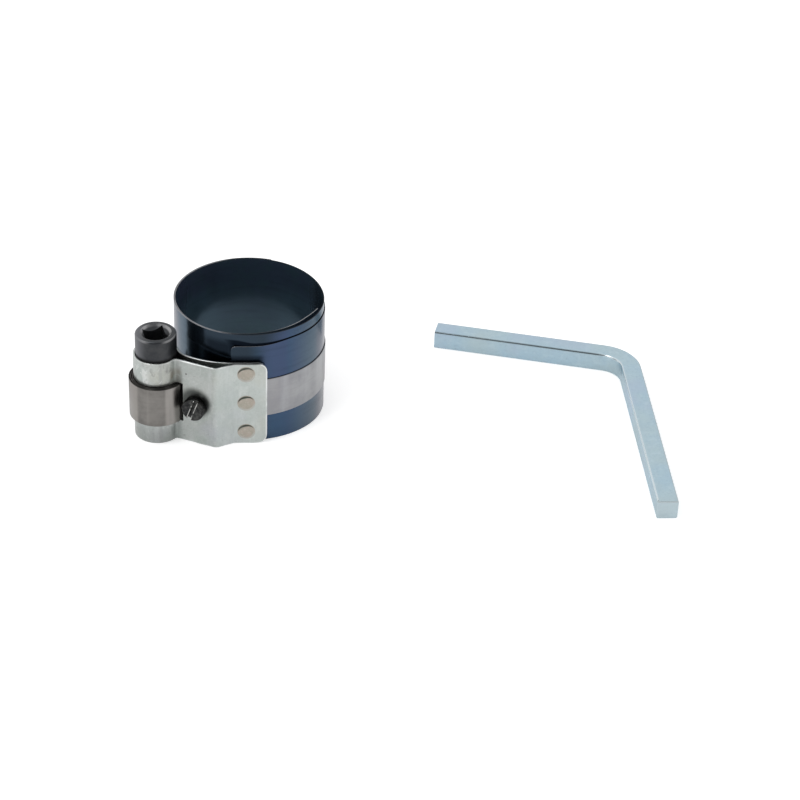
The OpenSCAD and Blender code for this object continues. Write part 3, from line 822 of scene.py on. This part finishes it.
# Painted highlight on the sides of the chamfer and of the socket's mouth, and painted light on the bar's
# left side; painted shade darkens the bar where it enters the barrel.
near_top = black.z.span(SPINDLE_TOP - 1.1, SPINDLE_TOP - 0.6)
on_chamfer = 1 - near_line(black, SPINDLE_AT, SPINDLE_R - 0.6, SPINDLE_R - 0.3)
in_mouth = near_line(black, SPINDLE_AT, MOUTH_R - 0.1, MOUTH_R + 0.15)
from_front = (black.x - SPINDLE_AT.x * MM).size().span(2, 5)
painted_highlight_places = on_chamfer * from_front * 0.6 + in_mouth * (from_front * 0.75 + 0.25)
painted_left_light = 1 - black.x.span(SPINDLE_AT.x - SPINDLE_R + 0.5, SPINDLE_AT.x - SPINDLE_R + 5)
at_barrel = 1 - black.z.span(HOUSING_H + 0.3, HOUSING_H + 1.6)
black.layer(near_top * painted_highlight_places * black_cloud.ramp(0.2, 0.5), rgb(0.34, 0.34, 0.345))
black.layer(painted_left_light * 0.75, rgb(0.165, 0.168, 0.183))
black.layer(at_barrel * 0.85, rgb(0.006, 0.006, 0.006))
black.feed("Base Color", black.tone)
black.feed("Roughness", black_cloud * 0.2 + black_turned * 0.1 + 0.25)
black.bump(black_turned * 0.6 + black_cloud * 0.4, 0.12, 0.06)

spindle_rings = [(0.0, SPINDLE_FOOT), (SPINDLE_R - 0.6, SPINDLE_FOOT),
                 (SPINDLE_R - 0.45, SPINDLE_FOOT + 0.04), (SPINDLE_R - 0.04, SPINDLE_FOOT + 0.45),
                 (SPINDLE_R, SPINDLE_FOOT + 0.6), (SPINDLE_R, SPINDLE_TOP - 0.75),
                 (SPINDLE_R - 0.06, SPINDLE_TOP - 0.55), (SPINDLE_R - 0.55, SPINDLE_TOP - 0.06),
                 (SPINDLE_R - 0.75, SPINDLE_TOP), (0.0, SPINDLE_TOP)]
spindle = new_piece("spindle_turned", lathe(spindle_rings, 128, AXIS_PLACE))
spindle.data.materials.append(black.material)


def box_shell(size, centre, place):
    shell = bmesh.new()
    bmesh.ops.create_cube(shell, size=1.0, matrix=place @ Matrix.Translation(Vector(centre) * MM)
                          @ Matrix.Diagonal((*(Vector(size) * MM), 1.0)))
    return shell


def box_cutter(size, centre, place):
    return new_piece("cutter", as_mesh(box_shell(size, centre, place), "cutter"))


socket_place = AXIS_PLACE @ turned(SOCKET_TURN, "Z")
slot_place = AXIS_PLACE @ turned(LEAVE_A - 180, "Z")
slot_high = COIL_Z + STRAP_W + SLOT_GAP
cut(spindle, [
    box_cutter((SOCKET_A, SOCKET_A, SOCKET_DEPTH + 2 * CUT_PAST),
               (0, 0, SPINDLE_TOP - SOCKET_DEPTH / 2 + CUT_PAST), socket_place),
    cylinder(SOCKET_A / 2, SPINDLE_TOP - MOUTH_DEPTH, SPINDLE_TOP + MOUTH_DEPTH, AXIS_PLACE,
             radius_top=2 * MOUTH_R - SOCKET_A / 2),
    box_cutter((2 * TONGUE, STRAP_T + SLOT_GAP, slot_high + 2 * CUT_PAST),
               (SPINDLE_R - SLOT_GAP, -STRAP_T / 2, slot_high / 2 - CUT_PAST), slot_place)])
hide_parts("spindle")
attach(spindle, "winder")

# Wound strap: the end of the tension strap, four turns round the spindle in the barrel's opening.
# It is the same rolled steel, a little darker and warmer.
COIL_STEP = 0.37
COIL_STATION = 0.35
COIL_TURNS = 4
COIL_IN = SPINDLE_R + STRAP_GAP + STRAP_T / 2
COIL_MID = COIL_IN + 2 * COIL_TURNS * COIL_STEP

coil_steel = Finish("wound_rolled_strip", Metallic=1.0)
coil_cloud = coil_steel.noise(130.0, 4.0, 0.6)
coil_streak = coil_steel.noise(700.0, 3.0, vector=coil_steel.stretched(0.08, 0.08, 1.0))
coil_band = coil_steel.noise(95.0, 1.0, vector=coil_steel.stretched(1.0, 1.0, 0.03))
coil_fine = coil_steel.noise(420.0, 2.0, vector=coil_steel.stretched(1.0, 1.0, 0.03))
from_right = (coil_steel.x - (SPINDLE_AT.x + 5.6) * MM).size()
coil_steel.tone = coil_cloud.ramp(0.3, 0.7).blend(rgb(0.150, 0.143, 0.135), rgb(0.226, 0.216, 0.204))
coil_steel.layer(coil_streak.ramp(0.4, 0.8) * 0.3, rgb(0.15, 0.14, 0.13))
# Painted reflection: soft upright lighter bands round the coil.
coil_steel.layer((coil_band + coil_fine * 0.3 - 0.15).ramp(0.42, 0.6) * 0.5, rgb(0.395, 0.372, 0.350))
# Painted highlight on the coil's right front.
coil_steel.layer((1 - from_right.span(0.5, 2.5)) * 0.35, rgb(0.395, 0.378, 0.362))
# Painted shade along the coil's upper edges, from the gap under the barrel.
coil_steel.layer(coil_steel.upper_edge(0.06, 0.25) * 0.8, rgb(0.06, 0.058, 0.055))
coil_steel.feed("Base Color", coil_steel.tone)
coil_steel.feed("Roughness", coil_cloud * 0.15 + coil_streak * 0.1 + 0.2)
coil_steel.bump(coil_streak, 0.08, 0.05)

# Half circles about two centres make a spiral whose steps are even.
coil_path = []
for i in range(2 * COIL_TURNS):
    side, start = (1, -180.0) if i % 2 == 0 else (-1, 0.0)
    centre = Vector((side * COIL_STEP / 2, 0.0))
    radius = COIL_MID - COIL_STEP / 2 - i * COIL_STEP
    coil_path = chain(coil_path, arc(centre, radius, start, start + 180.0))
turn_in = slot_place.to_3x3()
coil_path = [SPINDLE_AT + (turn_in @ p.to_3d()).to_2d() for p in coil_path]
coil = strip("strap_wound_on_spindle", coil_path, COIL_STATION, COIL_Z, COIL_Z + STRAP_W, STRAP_T,
             STRAP_EDGE, coil_steel.material)
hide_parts("strap_coil")
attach(coil, "winder")

# Brake screw: slotted cheese head screw in black oxide through both leaves of the housing.
# Tightening it draws the leaves together and sets the drag on the spindle.
HEAD_H = 3.5
HEAD_GAP = 0.3
SLOT_W = 1.5
SLOT_DEPTH = 1.7
SLOT_TURN = -20.0
SLOT_CUT_LEN, SLOT_CUT_H = 20.0, 4.0
PITCH = 0.8
THREAD_DEPTH = 0.45
SHANK_IN = 0.6

slot_turned = SCREW_PLACE @ turned(SLOT_TURN, "Z")


def along_axis(finish, place, axis):
    """Distance of a surface point from a frame's origin along one of its axes"""
    offset = finish.spot.vector("SUBTRACT", place.translation)
    return offset.vector("DOT_PRODUCT", place.to_3x3().col[axis], "Value")


# Screwdrivers have worn the slot's edges to bare steel.
worn = Finish("worn_black_screw", Metallic=1.0)
screw_cloud = worn.noise(650.0, 3.0, 0.6)
screw_chips = worn.noise(420.0, 3.0, 0.6)
from_slot = along_axis(worn, slot_turned, 1).size() - SLOT_W / 2 * MM
on_face = along_axis(worn, slot_turned, 2).span(HEAD_H - 0.55, HEAD_H - 0.3)
worn.tone = screw_cloud.ramp(0.35, 0.7).blend(rgb(0.022, 0.023, 0.024), rgb(0.075, 0.075, 0.073))
worn.layer((1 - from_slot.span(0.12, 0.4)) * on_face * screw_chips.ramp(0.38, 0.52), rgb(0.55, 0.55, 0.53))
worn.feed("Base Color", worn.tone)
worn.feed("Roughness", screw_cloud * 0.2 + 0.22)
worn.bump(screw_cloud, 0.25, 0.1)

screw_rings = [(0.0, HEAD_GAP), (HEAD_R - 0.15, HEAD_GAP), (HEAD_R, HEAD_GAP + 0.15),
               (HEAD_R, HEAD_H - 0.5), (HEAD_R - 0.08, HEAD_H - 0.3), (HEAD_R - 0.35, HEAD_H - 0.06),
               (HEAD_R - 0.6, HEAD_H), (2.0, HEAD_H + 0.05), (0.0, HEAD_H + 0.06)]
screw = new_piece("brake_screw_slotted", lathe(screw_rings, 96, SCREW_PLACE))
screw.data.materials.append(worn.material)
cut(screw, [box_cutter((SLOT_CUT_LEN, SLOT_W, SLOT_CUT_H),
                       (0, 0, HEAD_H - SLOT_DEPTH + SLOT_CUT_H / 2), slot_turned)])


def threaded(radius, depth, bottom, top, place, sides=24):
    """Threaded rod: one helical ridge, closed at both ends"""
    shell = bmesh.new()
    steps = int((top - bottom) / PITCH * sides)
    rows = []
    for reach, lag in ((radius, 0.0), (radius - depth, 0.5)):
        row = []
        for i in range(steps + 1):
            rim = reach * MM * toward(360 * i / sides)
            height = min(top, bottom + PITCH * (i / sides + lag))
            row.append(shell.verts.new(place @ Vector((rim.x, rim.y, height * MM))))
        rows.append(row)
    crest, root = rows
    for i in range(steps):
        shell.faces.new([crest[i], crest[i + 1], root[i + 1], root[i]])
        if i + sides + 1 <= steps:
            shell.faces.new([root[i], root[i + 1], crest[i + sides + 1], crest[i + sides]])
    bmesh.ops.holes_fill(shell, edges=[e for e in shell.edges if e.is_boundary], sides=0)
    bmesh.ops.recalc_face_normals(shell, faces=shell.faces)
    return shell


shank = threaded(SCREW_R, THREAD_DEPTH, -SHANK_LEN, HEAD_GAP + SHANK_IN, SCREW_PLACE)
shank.from_mesh(screw.data)
shank.to_mesh(screw.data)
shank.free()
screw.data.shade_smooth()
screw.data.set_sharp_from_angle(angle=SMOOTH_ANGLE)
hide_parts("brake_screw")
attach(screw, "brake")

# Brake nut: thin square nut behind the inner leaf, sheared from zinc plated bar.
# Its edges are broken all round.
NUT_A = 8.0
NUT_H = 2.5
NUT_EDGE = 0.3
NUT_GAP = 0.06

nut_shell = box_shell((NUT_A, NUT_A, NUT_H), (0, 0, NUT_H / 2 - SHANK_LEN), SCREW_PLACE)
bmesh.ops.bevel(nut_shell, geom=nut_shell.edges[:], offset=NUT_EDGE * MM, segments=3, affect="EDGES",
                profile=0.5)
nut = new_piece("brake_nut_square", as_mesh(nut_shell, "brake_nut_square"))
nut.data.materials.append(zinc.material)
cut(nut, [cylinder(SCREW_R + NUT_GAP, -SHANK_LEN - CUT_PAST, 0.0, SCREW_PLACE, HOLE_SIDES)])
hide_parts("brake_nut")
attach(nut, "ring")

# Square key: drawn 8 mm square bar, bent cold to an L and zinc plated with a blue tint.
# It lies loose on the floor beside the ring.
KEY_A = 8.0
KEY_EDGE = 0.75
KEY_END = 0.5
KEY_END_ANGLE = math.radians(60)
KEY_STATION = 0.8
KEY_FAR, KEY_NEAR = 80.5, 104.0
KEY_BEND = 9.0
KEY_TURN = 74.4
KEY_LAY = -14.6
KEY_AT = Vector((157.0, 21.7))

far_dir = toward(KEY_LAY + 180)
near_dir = toward(KEY_LAY - KEY_TURN)
far_tip = KEY_AT + KEY_FAR * far_dir
near_tip = KEY_AT + KEY_NEAR * near_dir
bend_mid = KEY_BEND + KEY_A / 2
bend_len = bend_mid * math.tan(math.radians(KEY_TURN / 2))
bend_centre = KEY_AT + bend_len * far_dir + bend_mid * toward(KEY_LAY - 90)
key_path = chain([far_tip], arc(bend_centre, bend_mid, KEY_LAY + 90, KEY_LAY + 90 - KEY_TURN), [near_tip])

blue_zinc = Finish("blue_zinc_bar", Metallic=1.0)
key_cloud = blue_zinc.noise(60.0, 4.0, 0.6)
key_grain = blue_zinc.noise(900.0, 3.0, 0.6)
key_spark = blue_zinc.noise(420.0, 3.0, 0.6)
key_tint = blue_zinc.noise(34.0, 2.0)
blue_zinc.tone = key_cloud.ramp(0.35, 0.68).blend(rgb(0.400, 0.535, 0.62), rgb(0.440, 0.56, 0.61))
blue_zinc.layer(key_grain.ramp(0.48, 0.75) * 0.45, rgb(0.33, 0.44, 0.53))
blue_zinc.layer(key_spark.ramp(0.5, 0.72) * 0.35, rgb(0.53, 0.65, 0.71))
blue_zinc.layer(key_tint.ramp(0.5, 0.64) * 0.5, rgb(0.43, 0.52, 0.545))
blue_zinc.layer((1 - key_tint.ramp(0.36, 0.48)) * 0.5, rgb(0.42, 0.51, 0.625))
# The drawn edges are smooth. Painted light along the top edges: a painted highlight inside the near arm,
# and painted reflection that darkens them round its outside and its end, and most along the far arm;
# painted light makes the end face lighter.
key_edge = blue_zinc.z.span(KEY_A - 0.85, KEY_A - 0.6) * (1 - blue_zinc.z.span(KEY_A - 0.1, KEY_A - 0.03))
far_arm = 1 - blue_zinc.x.span(KEY_AT.x - 14, KEY_AT.x - 8)
outside = blue_zinc.x.span(KEY_AT.x + 1, KEY_AT.x + 3)
at_end = 1 - blue_zinc.y.span(near_tip.y + 0.7, near_tip.y + 1.4)
near_edge = outside.most(at_end).blend(rgb(0.72, 0.77, 0.79), rgb(0.27, 0.29, 0.29))
end_face = 1 - blue_zinc.y.span(near_tip.y + 0.1, near_tip.y + 0.4)
blue_zinc.layer(key_edge * (1 - far_arm) * 0.6, near_edge)
blue_zinc.layer(key_edge * far_arm * 0.8, rgb(0.17, 0.21, 0.23))
blue_zinc.layer(end_face * 0.35, rgb(0.60, 0.68, 0.72))
blue_zinc.feed("Base Color", blue_zinc.tone)
blue_zinc.feed("Roughness", key_cloud * 0.15 + key_grain * 0.1 + 0.3 - key_edge * 0.25)
blue_zinc.bump(key_grain, 0.10, 0.08)

key = strip("square_key_bent", key_path, KEY_STATION, 0.0, KEY_A, KEY_A, KEY_EDGE, blue_zinc.material)
end_round = key.modifiers.new("end_round", "BEVEL")
end_round.limit_method = "ANGLE"
end_round.angle_limit = KEY_END_ANGLE
end_round.width = KEY_END * MM
end_round.segments = 3
settle(key)
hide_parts("square_key")
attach(key, "key")

# Studio: a plain white floor, a white surround that is darker towards the viewer, one large soft
# lamp and the camera. Sizes here are in metres.
FLOOR_SIZE = 3.0
FLOOR_Z = -0.00002
FLOOR_WHITE = 0.88
FLOOR_GLOW, FLOOR_MIRROR_GLOW = 0.45, 0.25
VIEWER = (0.0, -0.83, 0.555)
DARK_FROM, DARK_TO, DARK_SHARE = 0.75, 0.97, 0.85
SKY_FILL = 0.75
LAMP_AT, LAMP_AIM = Vector((-0.35, -0.25, 0.9)), Vector((0.03, 0.0, 0.02))


def light_rays(tree):
    """Whether a ray comes from the camera, and whether from a mirroring or clear surface"""
    rays = tree.nodes.new("ShaderNodeLightPath").outputs
    return Wire(rays["Is Camera Ray"]), Wire(rays["Is Glossy Ray"]) + Wire(rays["Is Transmission Ray"])


floor_mesh = bpy.data.meshes.new("floor")
floor_corners = ((-1, -1), (1, -1), (1, 1), (-1, 1))
floor_mesh.from_pydata([(x * FLOOR_SIZE, y * FLOOR_SIZE, FLOOR_Z) for x, y in floor_corners],
                       [], [(0, 1, 2, 3)])
floor = new_piece("floor", floor_mesh)
floor_material = bpy.data.materials.new("white_floor")
floor_material.use_nodes = True
floor_tree = floor_material.node_tree
floor_tree.nodes.clear()
floor_seen, floor_mirrored = light_rays(floor_tree)
paint = floor_seen.node("ShaderNodeBsdfDiffuse", {"Color": rgb(FLOOR_WHITE, FLOOR_WHITE, FLOOR_WHITE)})
glow = floor_seen.node("ShaderNodeEmission", {
    "Color": rgb(1, 1, 1), "Strength": floor_seen * FLOOR_GLOW + floor_mirrored * FLOOR_MIRROR_GLOW})
both = paint.node("ShaderNodeAddShader", {0: paint, 1: glow})
add_node(floor_tree, "ShaderNodeOutputMaterial", {"Surface": both})
floor.data.materials.append(floor_material)

world = bpy.data.worlds.new("studio")
bpy.context.scene.world = world
world.use_nodes = True
sky = world.node_tree.nodes["Background"]
sky_seen, sky_mirrored = light_rays(world.node_tree)
outlook = Wire(world.node_tree.nodes.new("ShaderNodeTexCoord").outputs["Generated"])
to_viewer = outlook.vector("DOT_PRODUCT", VIEWER, "Value").ramp(DARK_FROM, DARK_TO)
sky_power = (sky_seen + sky_mirrored * (1 - to_viewer * DARK_SHARE)
             + (1 - sky_seen - sky_mirrored) * SKY_FILL)
world.node_tree.links.new(sky_power.socket, sky.inputs["Strength"])
sky.inputs["Color"].default_value = rgb(1, 1, 1)

lamp = bpy.data.lights.new("top_lamp", "AREA")
lamp.shape = "DISK"
lamp.size = 0.35
lamp.energy = 2.0
lamp_piece = new_piece("top_lamp", lamp)
lamp_piece.location = LAMP_AT
lamp_piece.rotation_euler = (LAMP_AIM - LAMP_AT).to_track_quat("-Z", "Y").to_euler()

lens = bpy.data.cameras.new("camera")
lens.sensor_width = 36.0
lens.lens = 108.0
lens.shift_x = 0.1866
lens.clip_start = 0.01
camera = new_piece("camera", lens)
camera.location = (0.00096, -0.81486, 0.54321)
camera.rotation_euler = (math.radians(56.266), 0.0, 0.0)
bpy.context.scene.camera = camera
bpy.context.scene.view_settings.view_transform = "Standard"
